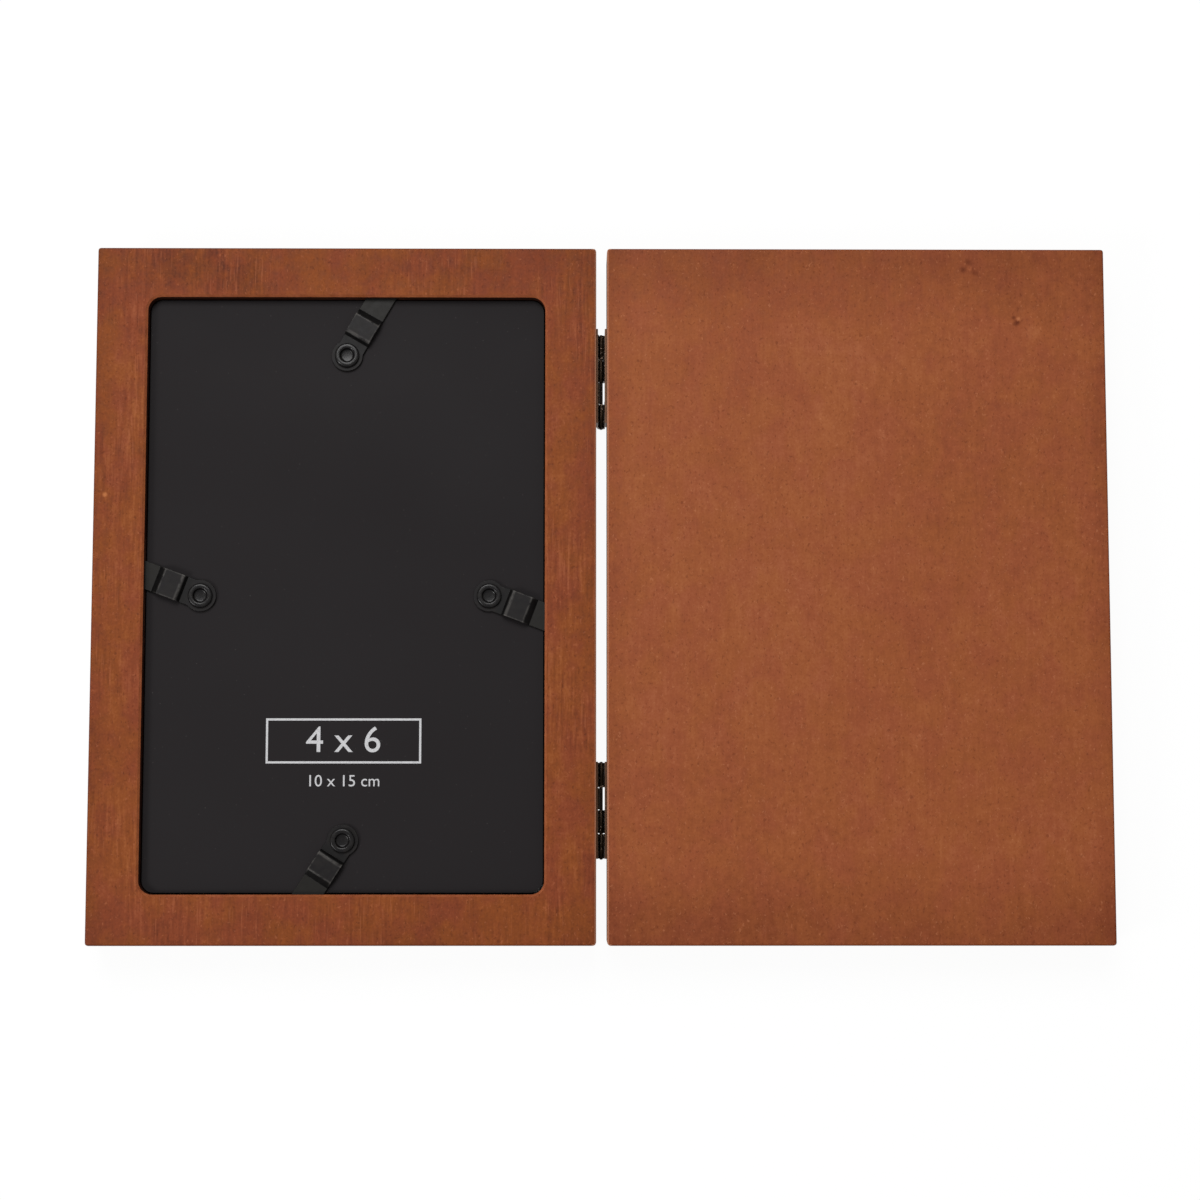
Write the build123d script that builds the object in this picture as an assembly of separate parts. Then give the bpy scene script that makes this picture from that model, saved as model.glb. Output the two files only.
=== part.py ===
from build123d import *
from math import hypot
import os

# A hinged double photo frame, lying open on its front with both backs up.
# X runs across the two panels, Y up the picture and Z from front to back.
# The origin is under the middle of the pair, on the surface that it lies on.
# The panel at -X holds a print behind glass, and the panel at +X is a closed board.

# Print, and the borders of wood round it
print_width = 101.6
print_height = 152.4
print_thickness = 0.3
print_side_play = 0.95
print_end_play = 1.25
side_border = 13.3
end_border = 13.0

# Panels
panel_thickness = 15.0
panel_corner = 1.0
arris = 0.6

# Rebate, and what it holds
rebate_corner = 3.5
recess_depth = 3.0
board_thickness = 3.0
board_play = 0.4
glass_thickness = 2.0
sight_ledge = 4.2
sight_corner = 3.0

# Turn clips, each a bent strip of steel on a hollow rivet
clip_width = 7.0
clip_gauge = 0.7
clip_rise = 1.3
clip_bend = 0.45
clip_eye_radius = 4.1
clip_heel_flat = 4.8
clip_heel_run = 0.7
clip_pad_length = 5.1
clip_tip_run = 1.6
clip_bite = 6.2
clip_tip_corner = 0.8
clip_lift = 0.1
rivet_inset = 14.4
rivet_drop = 0.7
kerf_play = 0.3

# Rivets of the turn clips
rivet_head_radius = 3.2
rivet_head_height = 0.9
rivet_shank_radius = 2.2
rivet_bore_radius = 1.75
rivet_bore_depth = 1.3
rivet_play = 0.05

# Hinges
leaf_length = 25.0
leaf_height = 9.5
leaf_gauge = 0.5
leaf_set = 0.4
pin_radius = 0.45
pin_play = 0.05
pin_proud = 0.3
end_knuckle = 6.4
middle_knuckle = 6.0
knuckle_play = 0.2
curl_sweep = 285
hinge_inset = 33.6
hinge_rise = 0.9
closing_gap = 0.3

# Screws of the hinges
screw_length = 10.0
screw_shank_radius = 0.85
screw_head_radius = 1.5
screw_spacing = 15.4
screw_proud = 0.1
screw_play = 0.05

# One overrun serves every cut
overrun = 1.0

# The rest follows from the sizes above
barrel_radius = pin_radius + pin_play + leaf_gauge
edge_gap = 2 * (barrel_radius + leaf_set)
axis_z = barrel_radius
front_z = axis_z + closing_gap / 2
back_z = front_z + panel_thickness

rebate_width = print_width + 2 * print_side_play
rebate_height = print_height + 2 * print_end_play
panel_width = rebate_width + 2 * side_border
panel_height = rebate_height + 2 * end_border
panel_x = (edge_gap + panel_width) / 2

board_z = back_z - recess_depth
print_z = board_z - board_thickness
glass_z = print_z - print_thickness
ledge_z = glass_z - glass_thickness

clip_z = board_z + clip_lift
clip_reach = rivet_inset + clip_bite
kerf_radius = hypot(clip_reach, clip_width / 2) + kerf_play

# Each clip's rivet, in shares of the way from the rebate's middle to its walls
clip_shares = {"top": (0, 1), "right": (1, 0), "bottom": (0, -1), "left": (-1, 0)}

# The way that each clip points, in degrees from +X
clip_turns = {"top": 60.0, "right": -20.6, "bottom": -122.5, "left": 159.5}

# Each hinge's place, in shares of the way from the panel's middle to its inset,
# which is also the end of the hinge where the middle knuckle stands
hinge_shares = {"upper": 1, "lower": -1}


def eased_slab():
    """A panel of board, with rounded corners and arrises, on the plane Z = 0."""
    block = extrude(Rectangle(panel_width, panel_height), panel_thickness)
    rims = block.edges() - block.edges().filter_by(Axis.Z)
    outline = extrude(RectangleRounded(panel_width, panel_height, panel_corner), panel_thickness)
    return fillet(rims, arris) & outline


def rivet_place(side):
    """Where a clip's rivet stands, in X and Y."""
    share_x, share_y = clip_shares[side]
    along_x = share_x * (rebate_width / 2 - rivet_inset)
    along_y = share_y * (rebate_height / 2 - rivet_inset)
    return -panel_x + along_x, along_y - rivet_drop


def hinge_y(name):
    """The middle of a hinge, along Y."""
    return hinge_shares[name] * (panel_height / 2 - hinge_inset) + hinge_rise


def screw_places(name):
    """Where a leaf's two screws stand, in Y and Z."""
    rise = axis_z + (plate_foot() + leaf_height) / 2
    return [(hinge_y(name) + share * screw_spacing / 2, rise) for share in (-1, 1)]


def curl_radius():
    """The radius of the middle of the leaf's gauge where it is curled round the pin."""
    return barrel_radius - leaf_gauge / 2


def plate_foot():
    """How far above the pin's axis the leaf's flat plate begins."""
    return barrel_radius + 2 * leaf_gauge + leaf_set


def wood_screw(play=0.0):
    """A countersunk screw along +X, with its head's face at X = 0, or the hole that it leaves."""
    outline = Polyline(
        (0, 0),
        (0, screw_head_radius + play),
        (leaf_gauge + screw_proud, screw_shank_radius + play),
        (screw_length + play, screw_shank_radius + play),
        (screw_length + play, 0),
        close=True,
    )
    return revolve(make_face(outline), Axis.X)


def at_screws(side, piece):
    """A copy of the piece at each screw of both hinges, turned to face the wood at side * X."""
    turn = Rot(0, 0 if side > 0 else 180, 0)
    face_x = side * (edge_gap / 2 - leaf_gauge - screw_proud)
    places = [place for name in hinge_shares for place in screw_places(name)]
    return [Pos(face_x, y, z) * turn * piece for y, z in places]


def photo_panel_frame():
    """The panel that is routed out for the print: rebate, sight opening and the kerfs for the clips."""
    slab = Pos(-panel_x, 0, front_z) * eased_slab()
    rebate = extrude(RectangleRounded(rebate_width, rebate_height, rebate_corner), back_z - ledge_z + overrun)
    sight = extrude(
        RectangleRounded(rebate_width - 2 * sight_ledge, rebate_height - 2 * sight_ledge, sight_corner),
        panel_thickness + 2 * overrun,
    )
    panel = slab - Pos(-panel_x, 0, ledge_z) * rebate - Pos(-panel_x, 0, front_z - overrun) * sight
    back_edges = panel.faces().sort_by(Axis.Z)[-1].inner_wires()[0].edges()
    front_edges = panel.faces().sort_by(Axis.Z)[0].inner_wires()[0].edges()
    panel = chamfer(back_edges + front_edges, arris)
    for side in clip_shares:
        x, y = rivet_place(side)
        panel -= Pos(x, y, clip_z + clip_gauge / 2) * Cylinder(kerf_radius, clip_gauge + 2 * kerf_play)
    return panel - at_screws(-1, wood_screw(screw_play))


def plain_panel_board():
    """The closed panel: one solid board."""
    return Pos(panel_x, 0, front_z) * eased_slab() - at_screws(1, wood_screw(screw_play))


def glazing():
    """The glass, on the ledge of the rebate."""
    sheet = RectangleRounded(
        rebate_width - 2 * board_play, rebate_height - 2 * board_play, rebate_corner - board_play
    )
    return Pos(-panel_x, 0, ledge_z) * extrude(sheet, glass_thickness)


def photo_print():
    """The print, between the glass and the backing board."""
    return Pos(-panel_x, 0, glass_z) * extrude(Rectangle(print_width, print_height), print_thickness)


def backing_board():
    """The board that closes the rebate, with a hole for each rivet."""
    sheet = RectangleRounded(
        rebate_width - 2 * board_play, rebate_height - 2 * board_play, rebate_corner - board_play
    )
    board = Pos(-panel_x, 0, print_z) * extrude(sheet, board_thickness)
    hole = Cylinder(rivet_shank_radius + rivet_play, 2 * (board_thickness + overrun))
    for side in clip_shares:
        x, y = rivet_place(side)
        board -= Pos(x, y, print_z) * hole
    return board


def clip_rivet(side):
    """A semi-tubular rivet: its hollow head over the clip, and its shank through the board."""
    x, y = rivet_place(side)
    head_z = clip_z + clip_gauge + clip_lift
    tail_z = print_z + rivet_play
    crown_z = head_z + rivet_head_height
    outline = Polyline(
        (0, tail_z),
        (rivet_shank_radius, tail_z),
        (rivet_shank_radius, head_z),
        (rivet_head_radius, head_z),
        (rivet_head_radius, crown_z),
        (rivet_bore_radius, crown_z),
        (rivet_bore_radius, crown_z - rivet_bore_depth),
        (0, crown_z - rivet_bore_depth),
        close=True,
    )
    section = Plane.XZ * make_face(outline)
    return Pos(x, y, 0) * revolve(section, Axis.Z)


def turn_clip(side):
    """A strip bent up into a finger pad, with a round eye on the rivet and a flat tip in the kerf."""
    x, y = rivet_place(side)
    pad_start = clip_heel_flat + clip_heel_run
    pad_end = pad_start + clip_pad_length
    bends = FilletPolyline(
        (-clip_eye_radius - overrun, 0),
        (clip_heel_flat, 0),
        (pad_start, clip_rise),
        (pad_end, clip_rise),
        (pad_end + clip_tip_run, 0),
        (clip_reach + overrun, 0),
        radius=clip_bend,
    )
    strip = extrude(Plane.XZ * trace(bends, clip_gauge), 2 * clip_eye_radius, both=True)
    finger = Pos(clip_reach / 2, 0) * Rectangle(clip_reach, clip_width)
    finger = chamfer(finger.vertices().group_by(Axis.X)[-1], clip_tip_corner)
    blank = extrude(finger + Circle(clip_eye_radius), 2 * (clip_rise + clip_gauge), both=True)
    hole = Cylinder(rivet_shank_radius + rivet_play, 2 * (clip_rise + clip_gauge))
    clip = (strip & blank) - hole
    return Pos(x, y, clip_z + clip_gauge / 2) * Rot(0, 0, clip_turns[side]) * clip


def knuckle_spans(name, side):
    """The stretches of Y that a leaf's curls take: two at the ends of one leaf, one on the other."""
    middle = hinge_y(name)
    half = leaf_length / 2
    if side < 0:
        return [
            (middle - half, middle - half + end_knuckle),
            (middle + half - end_knuckle, middle + half),
        ]
    outer = half - end_knuckle - knuckle_play
    if hinge_shares[name] > 0:
        return [(middle + outer - middle_knuckle, middle + outer)]
    return [(middle - outer, middle - outer + middle_knuckle)]


def curl_profile():
    """The leaf's curl round the pin, in the plane of X and Z, with the set that brings the plate out to the wood."""
    radius = curl_radius()
    plate_x = radius + leaf_set
    foot = plate_foot()
    leg = FilletPolyline(
        (plate_x, foot + leaf_gauge),
        (plate_x, foot),
        (radius, barrel_radius),
        (radius, 0),
        radius=leaf_gauge,
    )
    curl = CenterArc((0, 0), radius, 0, -curl_sweep)
    return trace([leg, curl], leaf_gauge)


def hinge_leaf(name, side):
    """A leaf: a flat plate screwed to the panel's edge, and its curls round the pin."""
    middle = hinge_y(name)
    plate_height = leaf_height - plate_foot()
    plate = extrude(Rectangle(plate_height, leaf_length), leaf_gauge)
    leaf = Pos(edge_gap / 2, middle, plate_foot() + plate_height / 2) * Rot(0, -90, 0) * plate
    for low, high in knuckle_spans(name, side):
        curl = extrude(Plane.XZ * curl_profile(), -(high - low))
        leaf += Pos(0, low, 0) * curl
    if side < 0:
        leaf = mirror(leaf, Plane.YZ)
    leaf = Pos(0, 0, axis_z) * leaf
    return leaf - at_screws(side, wood_screw(screw_play))


def hinge_pin(name):
    """The pin, a length of wire that stands a little proud at each end."""
    pin = Rot(90, 0, 0) * Cylinder(pin_radius, leaf_length + 2 * pin_proud)
    return Pos(0, hinge_y(name), axis_z) * pin


parts = {
    "photo_panel_frame": photo_panel_frame(),
    "plain_panel_board": plain_panel_board(),
    "glazing": glazing(),
    "photo_print": photo_print(),
    "backing_board": backing_board(),
}
for side in clip_shares:
    parts[f"turn_clip_{side}"] = turn_clip(side)
    parts[f"clip_rivet_{side}"] = clip_rivet(side)
for name in hinge_shares:
    parts[f"{name}_hinge_photo_leaf"] = hinge_leaf(name, -1)
    parts[f"{name}_hinge_plain_leaf"] = hinge_leaf(name, 1)
    parts[f"{name}_hinge_pin"] = hinge_pin(name)
parts["photo_panel_hinge_screws"] = Compound(at_screws(-1, wood_screw()))
parts["plain_panel_hinge_screws"] = Compound(at_screws(1, wood_screw()))

os.makedirs("parts", exist_ok=True)
for name, shape in parts.items():
    export_step(shape, f"parts/{name}.step")
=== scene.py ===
import math

import bmesh
import bpy
from mathutils import Matrix, Vector


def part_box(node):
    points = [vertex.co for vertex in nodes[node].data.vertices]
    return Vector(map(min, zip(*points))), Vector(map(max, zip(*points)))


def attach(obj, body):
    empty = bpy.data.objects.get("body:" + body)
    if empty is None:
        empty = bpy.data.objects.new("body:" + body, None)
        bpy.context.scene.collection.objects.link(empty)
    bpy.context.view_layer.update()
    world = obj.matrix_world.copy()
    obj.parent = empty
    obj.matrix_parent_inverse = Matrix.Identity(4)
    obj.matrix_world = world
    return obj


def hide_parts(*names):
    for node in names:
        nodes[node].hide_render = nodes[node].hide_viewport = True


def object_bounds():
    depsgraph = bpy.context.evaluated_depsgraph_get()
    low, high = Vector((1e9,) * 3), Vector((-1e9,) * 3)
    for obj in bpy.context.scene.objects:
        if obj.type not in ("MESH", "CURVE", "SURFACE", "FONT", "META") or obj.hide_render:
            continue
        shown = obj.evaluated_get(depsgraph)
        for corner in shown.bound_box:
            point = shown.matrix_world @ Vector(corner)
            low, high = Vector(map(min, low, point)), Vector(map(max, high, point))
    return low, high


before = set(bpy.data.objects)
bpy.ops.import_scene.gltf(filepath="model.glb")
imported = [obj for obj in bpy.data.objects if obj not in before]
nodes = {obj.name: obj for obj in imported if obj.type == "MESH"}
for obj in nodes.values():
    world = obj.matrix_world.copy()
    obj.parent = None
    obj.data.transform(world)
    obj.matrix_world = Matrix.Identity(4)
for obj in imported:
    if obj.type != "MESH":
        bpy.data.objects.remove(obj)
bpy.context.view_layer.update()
mm = 0.001


# Photo panel: a board cut to size and routed from the back for the print, its edges broken with sandpaper.
# Fine fibreboard, wiped along its length with a red-brown spirit stain, so brush streaks cross the top and
# bottom rails too, and loose fibres show as pale and dark flecks.
class Wire:
    """A socket whose value varies over a surface, so that its maths can be written as sums."""

    def __init__(self, finish, socket):
        self.finish = finish
        self.socket = socket

    def worked(self, operation, *values):
        return self.finish.node("ShaderNodeMath", {"operation": operation}, dict(enumerate(values)))

    def __add__(self, other):
        return self.worked("ADD", self, other)

    def __radd__(self, other):
        return self.worked("ADD", other, self)

    def __sub__(self, other):
        return self.worked("SUBTRACT", self, other)

    def __rsub__(self, other):
        return self.worked("SUBTRACT", other, self)

    def __mul__(self, other):
        return self.worked("MULTIPLY", self, other)

    def __rmul__(self, other):
        return self.worked("MULTIPLY", other, self)

    def __abs__(self):
        return self.worked("ABSOLUTE", self)


class Finish:
    """A surface finish, mixed from nodes that follow the piece's own place in metres."""

    def __init__(self, name):
        self.material = bpy.data.materials.new(name)
        self.material.use_nodes = True
        self.tree = self.material.node_tree
        self.tree.nodes.clear()
        self.place = self.node("ShaderNodeTexCoord", {}, {}, "Object")

    def node(self, kind, settings, sockets, output=0):
        made = self.tree.nodes.new(kind)
        for name, value in settings.items():
            if name == "stops":
                ramp = made.color_ramp
                ramp.elements[0].position, ramp.elements[0].color = value[0]
                ramp.elements[1].position, ramp.elements[1].color = value[-1]
                for place, colour in value[1:-1]:
                    ramp.elements.new(place).color = colour
            else:
                setattr(made, name, value)
        for name, value in sockets.items():
            if isinstance(value, Wire):
                self.tree.links.new(value.socket, made.inputs[name])
            else:
                made.inputs[name].default_value = value
        return Wire(self, made.outputs[output]) if made.outputs else made

    def along(self, axis):
        """How far along X, Y or Z a point of the surface lies."""
        return self.node("ShaderNodeSeparateXYZ", {}, {0: self.place}, axis)

    def noise(self, size, detail, shift, twist=0.0):
        """Soft noise about 0.5, with features of that size along X, Y and Z."""
        stretch = [1 / length for length in size]
        sockets = {0: self.place, 1: stretch, 2: (shift, shift, shift)}
        spread = self.node("ShaderNodeVectorMath", {"operation": "MULTIPLY_ADD"}, sockets)
        sockets = {"Vector": spread, "Scale": 1.0, "Detail": detail, "Distortion": twist}
        return self.node("ShaderNodeTexNoise", {}, sockets)

    def step(self, value, low, high):
        """0 below low, 1 above high, and a soft slope between them."""
        settings = {"interpolation_type": "SMOOTHSTEP"}
        return self.node("ShaderNodeMapRange", settings, {"Value": value, "From Min": low, "From Max": high})

    def mix(self, share, first, second):
        return self.node("ShaderNodeMix", {"data_type": "RGBA"}, {0: share, 6: first, 7: second}, 2)

    def bump(self, height, strength, depth):
        return self.node("ShaderNodeBump", {}, {"Height": height, "Strength": strength, "Distance": depth})

    def surface(self, sockets):
        shader = self.node("ShaderNodeBsdfPrincipled", {}, sockets)
        self.node("ShaderNodeOutputMaterial", {}, {"Surface": shader})


def paint(red, green, blue):
    """A colour as read off a paint chip, 0 to 255, made linear."""
    return [((part / 255 + 0.055) / 1.055) ** 2.4 for part in (red, green, blue)] + [1.0]


def stained_wood(name, stains, grain, streaks, ends, shift, marks):
    """Fibreboard under a wiped stain, darker along the panel's rims.

    A mark on its back has a place and a width in millimetres, and a number that says how much darker it is.
    """
    wood = Finish(name + "_stain")
    patches = wood.noise((30 * mm, 45 * mm, 30 * mm), 2, shift)
    clouds = wood.noise((6 * mm, 8 * mm, 6 * mm), 2, shift + 5)
    mottle = wood.noise((2.0 * mm, 2.4 * mm, 2.0 * mm), 2, shift + 19)
    grit = wood.noise((0.6 * mm, 0.7 * mm, 0.6 * mm), 2, shift + 29)
    strokes = wood.noise((0.8 * mm, 11 * mm, 0.8 * mm), 3, shift + 7)
    wiped = wood.step(wood.noise((14 * mm, 24 * mm, 14 * mm), 1, shift + 23), 0.35, 0.65)
    tone = 0.5 + (patches - 0.5) * 0.14 + (clouds - 0.5) * (0.13 * grain)
    tone = tone + (mottle - 0.5) * (0.2 * grain) + (grit - 0.5) * (0.2 * grain)
    low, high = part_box(name)
    from_side = (high.x - low.x) / 2 - abs(wood.along("X") - (high.x + low.x) / 2)
    from_end = high.y - abs(wood.along("Y"))
    stile = 13 * mm
    on_rail = wood.step(from_side, stile - 3 * mm, stile + 3 * mm)
    tone = tone + (strokes - 0.5) * (wiped * (1 - on_rail * 0.4) * streaks + 0.12)
    near_end = 1 - wood.step(from_end, 0.0, 26 * mm)
    near_side = 1 - wood.step(from_side, 0.0, 7 * mm)
    tone = tone - near_end * ends - near_side * 0.08
    skin = 0.05 * mm
    for x, y, width, darker in marks:
        place, size = Vector((x * mm, y * mm, high.z - skin)), width * mm
        away = wood.node("ShaderNodeVectorMath", {"operation": "DISTANCE"}, {0: wood.place, 1: place}, "Value")
        ragged = away + (mottle - 0.5) * (0.8 * size) + (strokes - 0.5) * (0.8 * streaks * size)
        tone = tone - (1 - wood.step(ragged, 0.1 * size, size)) * darker

    red, brown = [wood.node("ShaderNodeValToRGB", {"stops": stops}, {0: tone}) for stops in stains]
    dark, light = stains[0][0][1], stains[0][-1][1]
    hue = wood.step(wood.noise((7 * mm, 10 * mm, 7 * mm), 3, shift + 31), 0.34, 0.66)
    colour = wood.mix(hue, red, brown)
    flecks = (0.7 * mm, 1.0 * mm, 0.7 * mm)
    dark_flecks = wood.step(wood.noise(flecks, 2, shift + 37, 0.4), 0.62, 0.7)
    pale_flecks = wood.step(wood.noise(flecks, 2, shift + 47, 0.4), 0.64, 0.72)
    off_thread = abs(wood.noise((1.5 * mm, 2.2 * mm, 1.5 * mm), 1, shift + 41, 1.4) - 0.5)
    loose = wood.step(wood.noise((4 * mm, 4 * mm, 4 * mm), 1, shift + 43), 0.54, 0.64)
    curls = (1 - wood.step(off_thread, 0.003, 0.014)) * loose
    scratches = wood.step(wood.noise((0.4 * mm, 8 * mm, 0.4 * mm), 1, shift + 53), 0.62, 0.72) * wiped
    colour = wood.mix(pale_flecks * 0.35, colour, light)
    colour = wood.mix(curls * 0.35, colour, light)
    colour = wood.mix(scratches * (0.5 * streaks), colour, light)
    colour = wood.mix(dark_flecks * 0.35, colour, dark)

    normal = wood.node("ShaderNodeTexCoord", {}, {}, "Normal")
    facing = abs(wood.node("ShaderNodeSeparateXYZ", {}, {0: normal}, "Z"))
    sawn_edge = 1 - wood.step(facing, 0.2, 0.5)
    arris = wood.step(facing, 0.2, 0.5) * (1 - wood.step(facing, 0.85, 0.97))
    level = wood.along("Z")
    inside = wood.step(from_side, 2 * mm, 4 * mm) * wood.step(from_end, 2 * mm, 4 * mm)
    above_ledge = wood.step(level, 7 * mm, 7.5 * mm)
    under_arris = 1 - wood.step(level, high.z - 0.62 * mm, high.z - 0.5 * mm)
    rebate_wall_shade_and_stain = inside * above_ledge * under_arris
    by_hinge = 1 - wood.step(abs(wood.along("X")), 2.2 * mm, 2.8 * mm)
    # Side faces darker: the end grain takes the stain darker, and this is also painted shade on the steep faces.
    colour = wood.mix(sawn_edge * 0.4, colour, dark)
    # Outer arrises darker: painted shade where they turn away from the light, with some stain collected there.
    colour = wood.mix(arris * (1 - inside) * (1 - by_hinge) * 0.35, colour, dark)
    colour = wood.mix(arris * by_hinge * 0.7, colour, paint(190, 136, 108))
    colour = wood.mix(arris * inside * mottle * 0.7, colour, light)
    # Rebate walls nearly black: painted shade in the recess, with the stain also pooled darker there.
    colour = wood.mix(rebate_wall_shade_and_stain * 0.85, colour, paint(24, 10, 5))
    height = (strokes - 0.5) * 0.4 + (grit - 0.5) * 0.6 + pale_flecks * 0.3 - dark_flecks * 0.4 + curls * 0.2
    wood.surface({
        "Base Color": colour,
        "Roughness": 0.58 + (mottle - 0.5) * 0.3 + sawn_edge * 0.1,
        "Specular IOR Level": 0.16,
        "Normal": wood.bump(height, 0.6, 0.1 * mm),
    })
    return wood.material


def dress(name, material, edge=0.0):
    """The CAD piece takes that finish, and its sharp edges are eased where a width is given."""
    piece = nodes[name]
    piece.data.materials.clear()
    piece.data.materials.append(material)
    if edge:
        weld = piece.modifiers.new("joined_faces", "WELD")
        weld.merge_threshold = 0.001 * mm
        eased = piece.modifiers.new("eased_edges", "BEVEL")
        eased.width = edge
        eased.segments = 2
        eased.limit_method = "ANGLE"
        eased.angle_limit = math.radians(38)
        eased.harden_normals = True


red_stain = [(0.0, paint(76, 27, 7)), (0.5, paint(133, 63, 33)), (1.0, paint(178, 103, 67))]
brown_stain = [(0.0, paint(81, 33, 3)), (0.5, paint(137, 70, 27)), (1.0, paint(182, 110, 61))]
frame_marks = [
    (-128.5, 25.3, 1.0, -0.6),
    (-111.0, 86.0, 9.0, 0.1),
    (-103.0, 84.0, 10.0, 0.12),
    (-94.0, 82.0, 9.0, 0.1),
    (-121.0, 69.7, 3.5, 0.1),
]
stained_frame = stained_wood(
    "photo_panel_frame", (red_stain, brown_stain), grain=1.6, streaks=0.6, ends=0.1, shift=3.0, marks=frame_marks
)
dress("photo_panel_frame", stained_frame)


# Plain panel: a closed board of the same fibreboard and from the same stain pot, cut to the photo panel's size.
# Its flat back took the stain more evenly and a little lighter, with a few blotches near the top.
even_red = [(0.0, paint(92, 34, 8)), (0.5, paint(150, 78, 45)), (1.0, paint(190, 119, 81))]
even_brown = [(0.0, paint(95, 37, 5)), (0.5, paint(152, 82, 43)), (1.0, paint(192, 122, 77))]
board_marks = [
    (95.9, 87.0, 1.4, 0.2),
    (94.8, 84.9, 1.4, 0.22),
    (97.6, 84.2, 1.4, 0.2),
    (96.3, 85.2, 1.0, -0.2),
    (108.4, 70.8, 1.2, 0.35),
    (107.6, 72.2, 0.9, 0.3),
    (108.9, 71.9, 0.8, -0.4),
    (112.7, 68.6, 4.0, -0.1),
    (115.0, 83.0, 4.0, -0.08),
    # The last two are wide, soft darkenings at the upper right and the lower left: painted shade where the light
    # falls off.
    (118.0, 40.0, 52.0, 0.06),
    (20.0, -70.0, 48.0, 0.05),
]
stained_board = stained_wood(
    "plain_panel_board", (even_red, even_brown), grain=1.15, streaks=0.05, ends=0.17, shift=57.0, marks=board_marks
)
dress("plain_panel_board", stained_board)


# Glass: a 2 mm sheet with ground edges, dropped in the rebate from the back and resting on its ledge.
# It lets light straight through to the print, and mirrors more the more it is turned away. It lies a hair clear of
# the print, as glass does where it isn't stuck.
def made_piece(name, work, material):
    """The finished mesh work, as an object of the scene."""
    mesh = bpy.data.meshes.new(name)
    work.to_mesh(mesh)
    work.free()
    mesh.materials.append(material)
    piece = bpy.data.objects.new(name, mesh)
    bpy.context.scene.collection.objects.link(piece)
    return piece


clear = Finish("picture_glass")
wipe_marks = clear.noise((18 * mm, 9 * mm, 18 * mm), 3, 5.0)
smears = clear.step(wipe_marks, 0.6, 0.75)
mirror_look = {"Base Color": paint(250, 253, 252), "Metallic": 1.0, "Roughness": 0.01 + smears * 0.05}
mirror = clear.node("ShaderNodeBsdfPrincipled", {}, mirror_look)
through = clear.node("ShaderNodeBsdfTransparent", {}, {"Color": paint(247, 252, 250)})
turned_away = clear.node("ShaderNodeLayerWeight", {}, {"Blend": 0.5}, "Facing")
mirrored = turned_away * turned_away * turned_away * 0.7 + 0.03
pane = clear.node("ShaderNodeMixShader", {}, {0: mirrored, 1: through, 2: mirror})
clear.node("ShaderNodeOutputMaterial", {}, {"Surface": pane})

glass_low, glass_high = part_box("glazing")
hair = Vector((0.02, 0.02, 0.02)) * mm
ground_edge = 0.3 * mm
work = bmesh.new()
bmesh.ops.create_cube(work, size=1.0)
bmesh.ops.scale(work, vec=glass_high - glass_low - 2 * hair, verts=work.verts)
bmesh.ops.translate(work, vec=(glass_low + glass_high) / 2, verts=work.verts)
bmesh.ops.bevel(work, geom=work.edges[:], offset=ground_edge, segments=2, affect="EDGES")
glass = made_piece("glass_pane", work, clear.material)
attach(glass, "photo_panel")
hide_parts("glazing")


# Print: a glossy 4 x 6 photographic print, face to the glass, of nothing in particular: hills under a soft sky.
# Its back, against the board, is plain white paper.
picture = Finish("photo_print")
print_low, print_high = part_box("photo_print")
print_middle = (print_low + print_high) / 2
across = picture.along("X")
up = picture.along("Y")
sky_height = (up - print_low.y) * (1 / (print_high.y - print_low.y))
clouds = picture.step(picture.noise((34 * mm, 11 * mm, 34 * mm), 4, 11.0), 0.5, 0.72)
sky_stops = [(0.42, paint(228, 214, 190)), (0.62, paint(186, 204, 214)), (1.0, paint(104, 146, 184))]
scene_colour = picture.node("ShaderNodeValToRGB", {"stops": sky_stops}, {0: sky_height})
scene_colour = picture.mix(clouds * 0.55, scene_colour, paint(240, 240, 238))
hills = [
    (0.47, 30 * mm, 0.16, 21.0, paint(132, 150, 158)),
    (0.40, 22 * mm, 0.17, 33.0, paint(98, 122, 116)),
    (0.31, 26 * mm, 0.15, 45.0, paint(74, 98, 70)),
    (0.20, 18 * mm, 0.12, 57.0, paint(118, 122, 66)),
]
endless = 4000 * mm
for level, width, rise, shift, colour in hills:
    ridge = picture.noise((width, endless, endless), 3, shift)
    ground = 1 - picture.step(sky_height - (ridge - 0.5) * rise, level - 0.003, level + 0.003)
    scrub = picture.noise((2.2 * mm, 1.2 * mm, 2 * mm), 3, shift + 2)
    shaded = picture.mix((scrub - 0.3) * 0.9, colour, paint(60, 74, 54))
    scene_colour = picture.mix(ground, scene_colour, shaded)
white_border = 3.6 * mm
picture_x = print_high.x - print_middle.x - white_border
picture_y = print_high.y - print_middle.y - white_border
past_side = picture.step(abs(across - print_middle.x), picture_x, picture_x + 0.1 * mm)
past_end = picture.step(abs(up - print_middle.y), picture_y, picture_y + 0.1 * mm)
margin = 1 - (1 - past_side) * (1 - past_end)
scene_colour = picture.mix(margin, scene_colour, paint(238, 237, 232))
print_normal = picture.node("ShaderNodeTexCoord", {}, {}, "Normal")
back_side = picture.step(picture.node("ShaderNodeSeparateXYZ", {}, {0: print_normal}, "Z"), -0.5, 0.0)
scene_colour = picture.mix(back_side, scene_colour, paint(232, 231, 226))
paper_tooth = picture.noise((0.5 * mm, 0.5 * mm, 0.5 * mm), 2, 71.0)
picture.surface({
    "Base Color": scene_colour,
    "Roughness": 0.22 + paper_tooth * 0.06 + back_side * 0.3,
    "Normal": picture.bump(paper_tooth, 0.05, 0.05 * mm),
})
dress("photo_print", picture.material)


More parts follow.
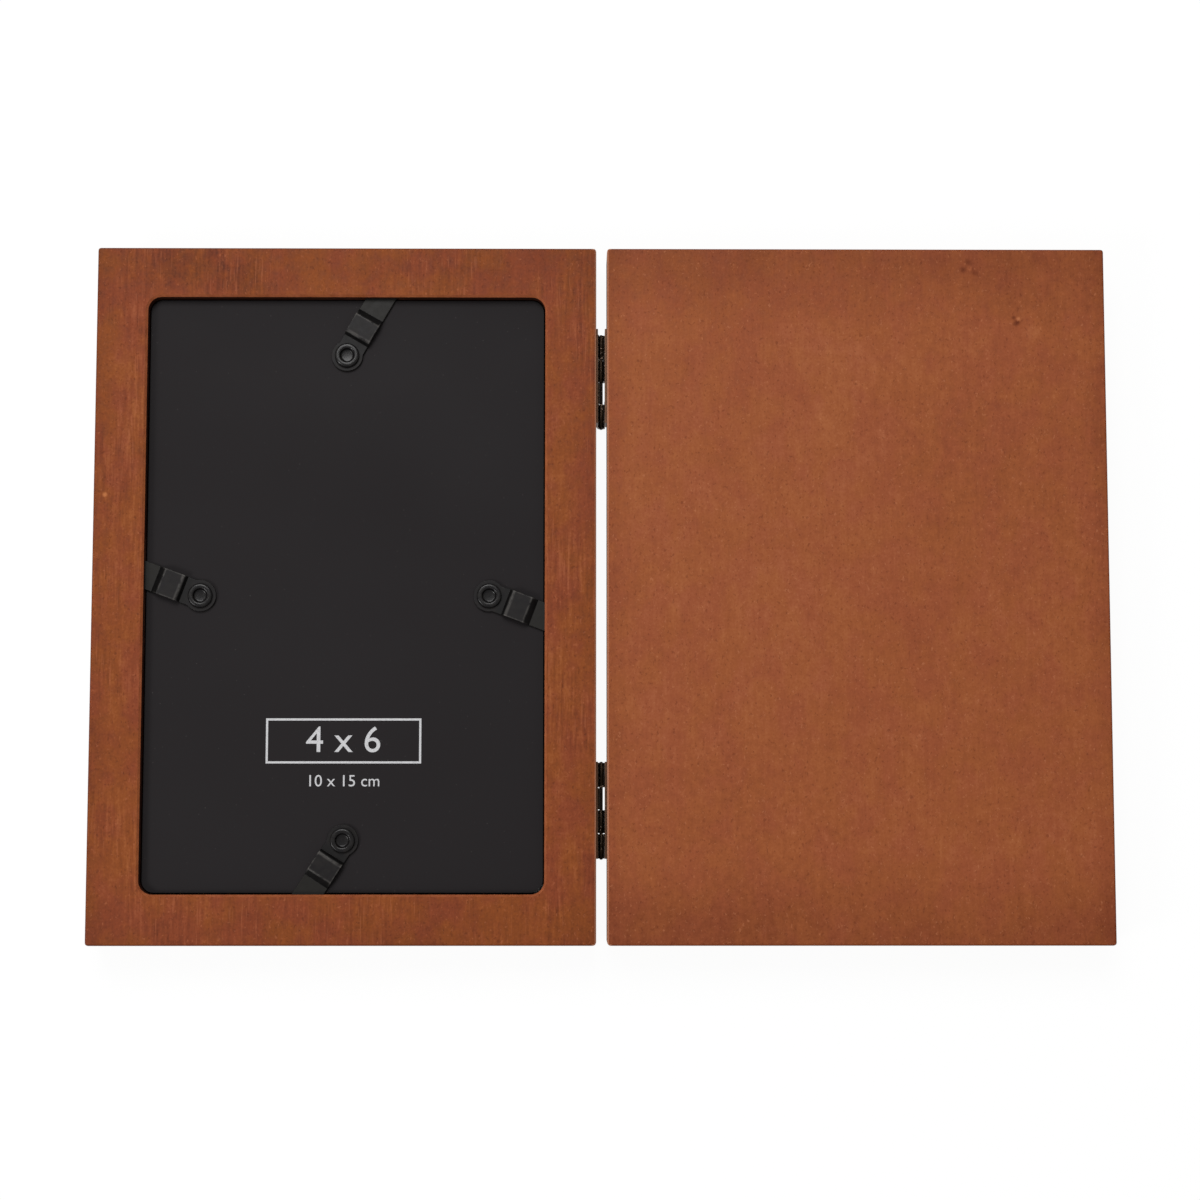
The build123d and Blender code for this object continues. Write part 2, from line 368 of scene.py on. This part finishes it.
# Backing board: thin hardboard faced with matt black paper, held in the rebate by the clips.
# It is bare but for its print size, screened on in silver ink with a ruled box round it.
backing = Finish("black_paper")
tooth = backing.noise((0.22 * mm, 0.22 * mm, 0.22 * mm), 2, 2.0)
sheen = backing.noise((60 * mm, 40 * mm, 60 * mm), 2, 9.0)
dust = backing.step(backing.noise((0.4 * mm, 0.4 * mm, 0.4 * mm), 0, 15.0), 0.86, 0.89)
backing_colour = backing.mix(tooth * 0.5 + sheen * 0.3, paint(26, 22, 24), paint(31, 27, 28))
backing_colour = backing.mix(dust * 0.5, backing_colour, paint(96, 92, 90))
backing.surface({
    "Base Color": backing_colour,
    "Roughness": 0.62 + (sheen - 0.5) * 0.2,
    "Specular IOR Level": 0.17,
    "Normal": backing.bump(tooth, 0.12, 0.04 * mm),
})
dress("backing_board", backing.material)

ink = Finish("silver_ink")
screen = ink.noise((0.16 * mm, 0.16 * mm, 0.16 * mm), 1, 4.0)
gaps = ink.step(screen, 0.34, 0.44)
ink.surface({
    "Base Color": ink.mix(gaps, paint(120, 119, 120), paint(206, 206, 208)),
    "Roughness": 0.5 + screen * 0.1,
    "Normal": ink.bump(screen, 0.2, 0.03 * mm),
})
ink_thickness = 0.02 * mm
board_low, board_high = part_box("backing_board")
board_middle = (board_low.x + board_high.x) / 2


def inked(name, curve, y):
    """Flat artwork turned into a film of ink on the board, across its middle."""
    curve.extrude = ink_thickness / 2
    artwork = bpy.data.objects.new(name + "_artwork", curve)
    film = bpy.data.objects.new(name, bpy.data.meshes.new_from_object(artwork))
    bpy.data.objects.remove(artwork)
    bpy.context.scene.collection.objects.link(film)
    film.data.materials.append(ink.material)
    film.location = (board_middle, y, board_high.z + ink_thickness / 2)
    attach(film, "photo_panel")


def numerals(text, height):
    letters = bpy.data.curves.new(text, "FONT")
    letters.body = text
    letters.size = height
    letters.align_x = "CENTER"
    letters.align_y = "CENTER"
    return letters


def ruled_box(width, height, line):
    """A thin rectangle, as an outline with a hole."""
    art = bpy.data.curves.new("ruled_box", "CURVE")
    art.dimensions = "2D"
    art.fill_mode = "BOTH"
    for inset in (0, line):
        x, y = width / 2 - inset, height / 2 - inset
        loop = art.splines.new("POLY")
        loop.points.add(3)
        for point, corner in zip(loop.points, ((-x, -y), (x, -y), (x, y), (-x, y))):
            point.co = (*corner, 0, 1)
        loop.use_cyclic_u = True
    return art


box_y = -38.2 * mm
metric_y = -48.6 * mm
inked("size_box", ruled_box(width=40 * mm, height=11.6 * mm, line=0.55 * mm), box_y)
inked("size_inches", numerals("4 x 6", 9.5 * mm), box_y)
inked("size_metric", numerals("10 x 15 cm", 4.2 * mm), metric_y)


# Turn clips: steel strip, cropped, pressed up into a finger pad and dipped in black enamel.
# The round eye turns on its rivet and the flat tip goes into the kerf in the rebate's wall. The enamel is pale
# along the pad's edges, partly rubbed by fingers and wood and partly painted highlight, with painted highlights on
# the bend crests, and the tip flat a little paler. The risers and the neck under the pad are painted dark as shade.
clip_turns = {"top": 60.0, "right": -20.6, "bottom": -122.5, "left": 159.5}
clip_half_width = 3.5 * mm
clip_bends = (4.8 * mm, 5.5 * mm, 10.6 * mm, 12.2 * mm)


def enamel(side):
    """The clip's finish, which follows the clip outwards from its rivet."""
    coat = Finish("black_enamel_" + side)
    low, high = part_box("clip_rivet_" + side)
    turn = math.radians(clip_turns[side])
    rivet = (low + high) / 2
    from_rivet = coat.node("ShaderNodeVectorMath", {"operation": "SUBTRACT"}, {0: coat.place, 1: rivet})
    ways = ((math.cos(turn), math.sin(turn), 0), (-math.sin(turn), math.cos(turn), 0))
    outwards, sideways = [
        coat.node("ShaderNodeVectorMath", {"operation": "DOT_PRODUCT"}, {0: from_rivet, 1: way}, "Value")
        for way in ways
    ]
    flow = coat.noise((1.2 * mm, 1.2 * mm, 1.2 * mm), 2, 1.0)
    handled = coat.noise((1.6 * mm, 1.6 * mm, 1.6 * mm), 3, 8.0)
    rim = coat.step(abs(sideways), clip_half_width - 0.45 * mm, clip_half_width - 0.05 * mm)
    heel, pad, brow, tip = clip_bends
    off_pad_bend = coat.step(abs(outwards - pad - 0.2 * mm), 0.2 * mm, 0.6 * mm)
    off_brow_bend = coat.step(abs(outwards - brow), 0.0, 0.4 * mm)
    crests = 2 - off_pad_bend - off_brow_bend
    on_pad = coat.step(outwards, heel, pad) - coat.step(outwards, brow, tip)
    # Painted shade: the steep risers are darkened to near black.
    shaded_risers = coat.step(outwards, heel - 0.1 * mm, heel) - coat.step(outwards, pad - 0.1 * mm, pad)
    shaded_risers = shaded_risers + coat.step(outwards, brow, brow + 0.2 * mm) - coat.step(outwards, tip, tip + 0.2 * mm)
    # Pale along the pad's edges and bend crests: partly rubbed enamel, partly painted highlight; on the crests it
    # is painted highlight.
    worn_and_highlit = (rim + crests) * on_pad * coat.step(handled, 0.3, 0.6)
    # Painted shade under the pad's bend, darkening the neck.
    shaded_neck = coat.step(outwards, 2.4 * mm, 3.6 * mm) - coat.step(outwards, heel - 0.1 * mm, heel)
    colour = coat.mix(coat.step(handled, 0.35, 0.7), paint(20, 17, 18), paint(26, 23, 22))
    colour = coat.mix(shaded_neck * 0.6, colour, paint(8, 7, 7))
    colour = coat.mix(coat.step(outwards, tip, tip + 0.3 * mm), colour, paint(27, 25, 22))
    colour = coat.mix(shaded_risers * 0.8, colour, paint(6, 6, 6))
    colour = coat.mix(worn_and_highlit * 0.5, colour, paint(84, 81, 78))
    coat.surface({
        "Base Color": colour,
        "Roughness": 0.36 + handled * 0.2 + (flow - 0.5) * 0.15,
        "Specular IOR Level": 0.2,
        "Normal": coat.bump(flow, 0.25, 0.06 * mm),
    })
    return coat.material


rolled_edge = 0.14 * mm
for side in clip_turns:
    dress("turn_clip_" + side, enamel(side), rolled_edge)


# Clip rivets: semi-tubular steel rivets, blacked, whose wide rolled rim round a shallow cup holds the clip down.
# The shank goes through the board and is clinched on its inner face, behind the print.
blacking = Finish("rivet_blacking")
scuffs = blacking.noise((1.3 * mm, 1.3 * mm, 1.3 * mm), 2, 6.0)
cup_wall = blacking.step(blacking.along("Z"), 2.1 * mm, 2.6 * mm)
blacking.surface({
    "Base Color": blacking.mix(blacking.step(scuffs, 0.45, 0.65), paint(17, 15, 16), paint(26, 24, 23)),
    "Roughness": 0.52 - cup_wall * 0.3 + scuffs * 0.08,
    "Specular IOR Level": 0.32,
    "Normal": blacking.bump(scuffs, 0.06, 0.08 * mm),
})


def turned(name, profile, count, material):
    """A piece turned on a lathe about Z, from (radius, height) points. A radius of 0 closes an end."""
    work = bmesh.new()
    rings = []
    for radius, height in profile:
        if radius == 0:
            rings.append([work.verts.new((0, 0, height))])
        else:
            angles = [2 * math.pi * i / count for i in range(count)]
            rings.append([work.verts.new((radius * math.cos(a), radius * math.sin(a), height)) for a in angles])
    for low, high in zip(rings, rings[1:]):
        for i in range(count):
            corners = [low[i % len(low)], low[(i + 1) % len(low)], high[(i + 1) % len(high)], high[i % len(high)]]
            work.faces.new(list(dict.fromkeys(corners)))
    bmesh.ops.recalc_face_normals(work, faces=work.faces)
    for face in work.faces:
        face.smooth = True
    for edge in work.edges:
        edge.smooth = edge.calc_face_angle(0) < math.radians(35)
    return made_piece(name, work, material)


def arc(centre_r, centre_z, radius, start, end, steps):
    """Points along an arc of a turned profile, angles in degrees."""
    angles = [math.radians(start + (end - start) * i / steps) for i in range(steps + 1)]
    return [(centre_r + radius * math.cos(a), centre_z + radius * math.sin(a)) for a in angles]


rivet_low, rivet_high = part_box("clip_rivet_top")
crown = rivet_high.z - rivet_low.z
head_radius = (rivet_high.x - rivet_low.x) / 2
head_height = 0.9 * mm
shank_radius = 2.2 * mm
cup_radius = 1.75 * mm
cup_depth = 1.25 * mm
roll = 0.6 * mm
brim = crown - head_height
shank_chamfer = 0.15 * mm
cup_lip = 0.45 * mm
cup_corner = 0.5 * mm
rivet_profile = [(0, 0), (shank_radius - shank_chamfer, 0), (shank_radius, shank_chamfer), (shank_radius, brim)]
rivet_profile += [(head_radius - 0.1 * mm, brim), (head_radius, brim + 0.08 * mm)]
rivet_profile += arc(head_radius - roll, crown - roll, roll, 0, 90, 8)
rivet_profile += arc(cup_radius + cup_lip, crown - cup_lip, cup_lip, 90, 170, 7)
rivet_profile += arc(cup_radius - cup_corner, crown - cup_depth + cup_corner, cup_corner, 0, -90, 6)
rivet_profile += [(0, crown - cup_depth)]
for side in clip_turns:
    low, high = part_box("clip_rivet_" + side)
    rivet = turned("rolled_rivet_" + side, rivet_profile, 64, blacking.material)
    rivet.location = ((low.x + high.x) / 2, (low.y + high.y) / 2, low.z)
    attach(rivet, "photo_panel")
    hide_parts("clip_rivet_" + side)


# Hinges: small butt hinges of thin bronzed strip, a leaf on each panel's edge with its curls round the pin.
# The curls are dark brown to black and the flat leaves a warmer brown. The plating is worn pale in scattered
# spots, and pale painted highlights sit where the curls meet.
end_knuckle = 6.4 * mm
middle_knuckle = 6.0 * mm
knuckle_play = 0.2 * mm


def plating(name):
    """The finish of one hinge, worn pale in spots, with painted highlights at the inner ends of its outer curls."""
    bronze = Finish("dark_bronze_" + name)
    low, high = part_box(name + "_hinge_photo_leaf")
    curl_ends = (high.y - low.y) / 2 - end_knuckle
    tarnish = bronze.noise((0.9 * mm, 1.6 * mm, 0.9 * mm), 3, 12.0)
    spots = bronze.noise((0.6 * mm, 0.6 * mm, 0.6 * mm), 1, 18.0)
    from_middle = abs(bronze.along("Y") - (low.y + high.y) / 2)
    on_leaf = bronze.step(abs(bronze.along("X")), 0.85 * mm, 0.95 * mm)
    # Painted highlight: pale rings at the inner ends of the outer curls, mixed in with the worn spots.
    curl_end_highlight = (1 - bronze.step(abs(from_middle - curl_ends), 0.2 * mm, 0.6 * mm)) * (1 - on_leaf)
    worn_and_highlit = bronze.step(spots + curl_end_highlight * 0.2 - on_leaf * 0.06, 0.68, 0.74)
    curls = bronze.mix(tarnish, paint(34, 24, 16), paint(84, 64, 44))
    leaves = bronze.mix(tarnish, paint(92, 64, 46), paint(128, 94, 72))
    bronze.surface({
        "Base Color": bronze.mix(worn_and_highlit, bronze.mix(on_leaf, curls, leaves), paint(206, 178, 156)),
        "Metallic": 0.7 - worn_and_highlit * 0.5,
        "Roughness": 0.34 + tarnish * 0.25,
        "Normal": bronze.bump(tarnish, 0.2, 0.05 * mm),
    })
    return bronze.material


bronzes = {name: plating(name) for name in ("upper", "lower")}
tumbled_edge = 0.08 * mm
for name, material in bronzes.items():
    dress(name + "_hinge_photo_leaf", material, tumbled_edge)
    dress(name + "_hinge_plain_leaf", material, tumbled_edge)


# Hinge aprons: between its two curls, the photo panel's leaf is bent in towards the bare stretch of the pin.
# Each is part of the same pressed strip as its leaf, and closes the slot on that side of the pin.
leaf_gauge = 0.5 * mm
leaf_foot = 3.4 * mm
for name, middle_end in (("upper", 1), ("lower", -1)):
    low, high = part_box(name + "_hinge_photo_leaf")
    pin_low, pin_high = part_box(name + "_hinge_pin")
    pin_height = (pin_low.z + pin_high.z) / 2
    centre = (low.y + high.y) / 2
    reach = (high.y - low.y) / 2 - end_knuckle - knuckle_play
    start = centre - middle_end * reach
    end = centre + middle_end * (reach - middle_knuckle - knuckle_play)
    outer, inner, lip = low.x, low.x + leaf_gauge, pin_low.x + 0.07 * mm
    top, bend, foot = leaf_foot + 0.1 * mm, pin_height + 0.8 * mm, pin_height + 0.3 * mm
    section = ((outer, top), (inner, top), (inner, bend), (lip, pin_height + 0.75 * mm), (lip, foot), (outer, foot))
    work = bmesh.new()
    ends = [[work.verts.new((x, y, z)) for x, z in section] for y in (start, end)]
    for i in range(len(section)):
        following = (i + 1) % len(section)
        work.faces.new((ends[0][i], ends[0][following], ends[1][following], ends[1][i]))
    for loop in ends:
        work.faces.new(loop)
    bmesh.ops.recalc_face_normals(work, faces=work.faces)
    bmesh.ops.bevel(work, geom=work.edges[:], offset=0.06 * mm, segments=2, affect="EDGES")
    apron = made_piece(name + "_hinge_apron", work, bronzes[name])
    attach(apron, "photo_panel")


# Hinge pins: drawn steel wire with a little dome at each end, dulled by age.
steel = Finish("pin_steel")
drawn = steel.noise((0.15 * mm, 4 * mm, 0.15 * mm), 2, 3.0)
steel.surface({
    "Base Color": steel.mix(drawn, paint(36, 25, 17), paint(62, 46, 34)),
    "Metallic": 0.5,
    "Roughness": 0.4 + drawn * 0.15,
    "Normal": steel.bump(drawn, 0.1, 0.03 * mm),
})
flattening = 0.6
for name in ("upper", "lower"):
    low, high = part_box(name + "_hinge_pin")
    radius = (high.x - low.x) / 2
    length = high.y - low.y
    dome = radius * flattening
    tip = [(r, length - dome + z * flattening) for r, z in arc(0, 0, radius, 0, 80, 6)] + [(0, length)]
    pin_profile = [(r, length - z) for r, z in reversed(tip)] + tip
    pin = turned(name + "_hinge_wire", pin_profile, 32, steel.material)
    pin.rotation_euler = (-math.pi / 2, 0, 0)
    pin.location = ((low.x + high.x) / 2, low.y, (low.z + high.z) / 2)
    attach(pin, "photo_panel")
    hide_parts(name + "_hinge_pin")


# Hinge screws: two small countersunk cross-head wood screws in each leaf, bronzed like it.
# Only their heads show, with the cross punched into them.
screw_radius = 1.5 * mm
screw_shank = 0.85 * mm
screw_neck = 0.6 * mm
screw_length = 10.0 * mm
screw_point = 2.0 * mm
screw_reach = 7.7 * mm


def cross_screw():
    """One screw along +X with its head at X = 0: a disc with a cross-shaped pit, a cone and a pointed shank."""
    work = bmesh.new()
    count = 32
    angles = [2 * math.pi * i / count for i in range(count)]
    arm, blade, depth = 0.95 * mm, 0.22 * mm, 0.55 * mm
    corners = []
    for quarter in range(4):
        cos, sin = math.cos(math.pi / 2 * quarter), math.sin(math.pi / 2 * quarter)
        for along, side in ((arm, -blade), (arm, blade), (blade, blade)):
            corners.append((along * cos - side * sin, along * sin + side * cos))
    rim = [work.verts.new((0, screw_radius * math.cos(a), screw_radius * math.sin(a))) for a in angles]
    mouth = [work.verts.new((0, y, z)) for y, z in corners]
    pit = [work.verts.new((depth, y * 0.45, z * 0.8 if abs(z) > abs(y) else z * 0.45)) for y, z in corners]
    loops = [work.edges.new(pair) for ring in (rim, mouth) for pair in zip(ring, ring[1:] + ring[:1])]
    bmesh.ops.triangle_fill(work, use_beauty=True, edges=loops)
    for a, b, c, d in zip(mouth, mouth[1:] + mouth[:1], pit[1:] + pit[:1], pit):
        work.faces.new((a, b, c, d))
    work.faces.new(pit)
    rings = [rim]
    shank_end = screw_length - screw_point
    for x, radius in ((screw_neck, screw_shank), (shank_end, screw_shank), (screw_length, 0.08 * mm)):
        rings.append([work.verts.new((x, radius * math.cos(a), radius * math.sin(a))) for a in angles])
    for low, high in zip(rings, rings[1:]):
        for i in range(count):
            work.faces.new((low[i], low[(i + 1) % count], high[(i + 1) % count], high[i]))
    work.faces.new(rings[-1])
    bmesh.ops.recalc_face_normals(work, faces=work.faces)
    mesh = bpy.data.meshes.new("cross_screw")
    work.to_mesh(mesh)
    work.free()
    return mesh


for panel, turn in (("photo", math.pi), ("plain", 0.0)):
    node = panel + "_panel_hinge_screws"
    low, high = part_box(node)
    head_x = high.x if turn else low.x
    work = bmesh.new()
    for name in ("upper", "lower"):
        leaf_low, leaf_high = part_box(name + "_hinge_" + panel + "_leaf")
        for step in (-screw_reach, screw_reach):
            screw = cross_screw()
            place = Vector((head_x, (leaf_low.y + leaf_high.y) / 2 + step, (leaf_high.z + leaf_foot) / 2))
            driven = Matrix.Rotation(0.4 + step * 90, 4, "X")
            screw.transform(Matrix.Translation(place) @ Matrix.Rotation(turn, 4, "Z") @ driven)
            work.from_mesh(screw)
            bpy.data.meshes.remove(screw)
    screws = made_piece(panel + "_cross_screws", work, bronzes["upper"])
    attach(screws, panel + "_panel")
    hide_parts(node)


# Floor: a wide sheet of white card, which keeps the soft shadow under the pair.
# The light is a large soft box overhead, towards the top of the picture, a smaller one on the left, and an even
# pale room.
card = Finish("white_card")
floor_size = 20.0
floor_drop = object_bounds()[0][2] - 0.02 * mm
card_grain = card.noise((3 * mm, 3 * mm, 3 * mm), 2, 2.0)
path = card.tree.nodes.new("ShaderNodeLightPath")
seen = Wire(card, path.outputs["Is Camera Ray"]) + Wire(card, path.outputs["Is Glossy Ray"])
seen = seen + Wire(card, path.outputs["Is Transmission Ray"])
card_colour = card.mix(card_grain, paint(232, 232, 232), paint(238, 238, 238))
matt = card.node("ShaderNodeBsdfDiffuse", {}, {"Color": card_colour})
glow = card.node("ShaderNodeEmission", {}, {"Color": (1.0, 1.0, 1.0, 1.0), "Strength": 1.025})
lit_card = card.node("ShaderNodeMixShader", {}, {0: seen * 0.92, 1: matt, 2: glow})
card.node("ShaderNodeOutputMaterial", {}, {"Surface": lit_card})
sheet = bmesh.new()
bmesh.ops.create_grid(sheet, x_segments=12, y_segments=12, size=floor_size / 2)
floor = made_piece("floor", sheet, card.material)
floor.location = (0, 0, floor_drop)

room = bpy.data.worlds.new("white_room")
room.use_nodes = True
room_light = room.node_tree.nodes["Background"]
room_light.inputs["Color"].default_value = (1.0, 1.0, 1.0, 1.0)
room_light.inputs["Strength"].default_value = 0.36
bpy.context.scene.world = room


def soft_box(name, place, size, power):
    """A soft square lamp that faces the object."""
    lamp = bpy.data.lights.new(name, "AREA")
    lamp.shape = "SQUARE"
    lamp.size = size
    lamp.energy = power
    holder = bpy.data.objects.new(name, lamp)
    holder.location = place
    holder.rotation_euler = (Vector((0, 0, 0)) - Vector(place)).to_track_quat("-Z", "Y").to_euler()
    bpy.context.scene.collection.objects.link(holder)


soft_box("top_light", (-0.2, 0.7, 1.2), 0.7, 10.0)
soft_box("left_light", (-0.85, -0.45, 0.9), 0.35, 5.0)


# Camera: above the open pair and a little towards its bottom edge, as in the photograph.
camera_place = Vector((-5.8, -63.35, 650.0)) * mm
aim = Vector((-0.42, -1.95, 16.0)) * mm
camera = bpy.data.cameras.new("photograph")
camera.sensor_width = 36.0
camera.lens = 74.04
camera.clip_start = 0.01
viewer = bpy.data.objects.new("photograph", camera)
ahead = (aim - camera_place).normalized()
across = ahead.cross(Vector((0, 1, 0))).normalized()
viewer.matrix_world = Matrix((across, across.cross(ahead), -ahead)).transposed().to_4x4()
viewer.location = camera_place
bpy.context.scene.collection.objects.link(viewer)
bpy.context.scene.camera = viewer
bpy.context.scene.view_settings.view_transform = "Standard"
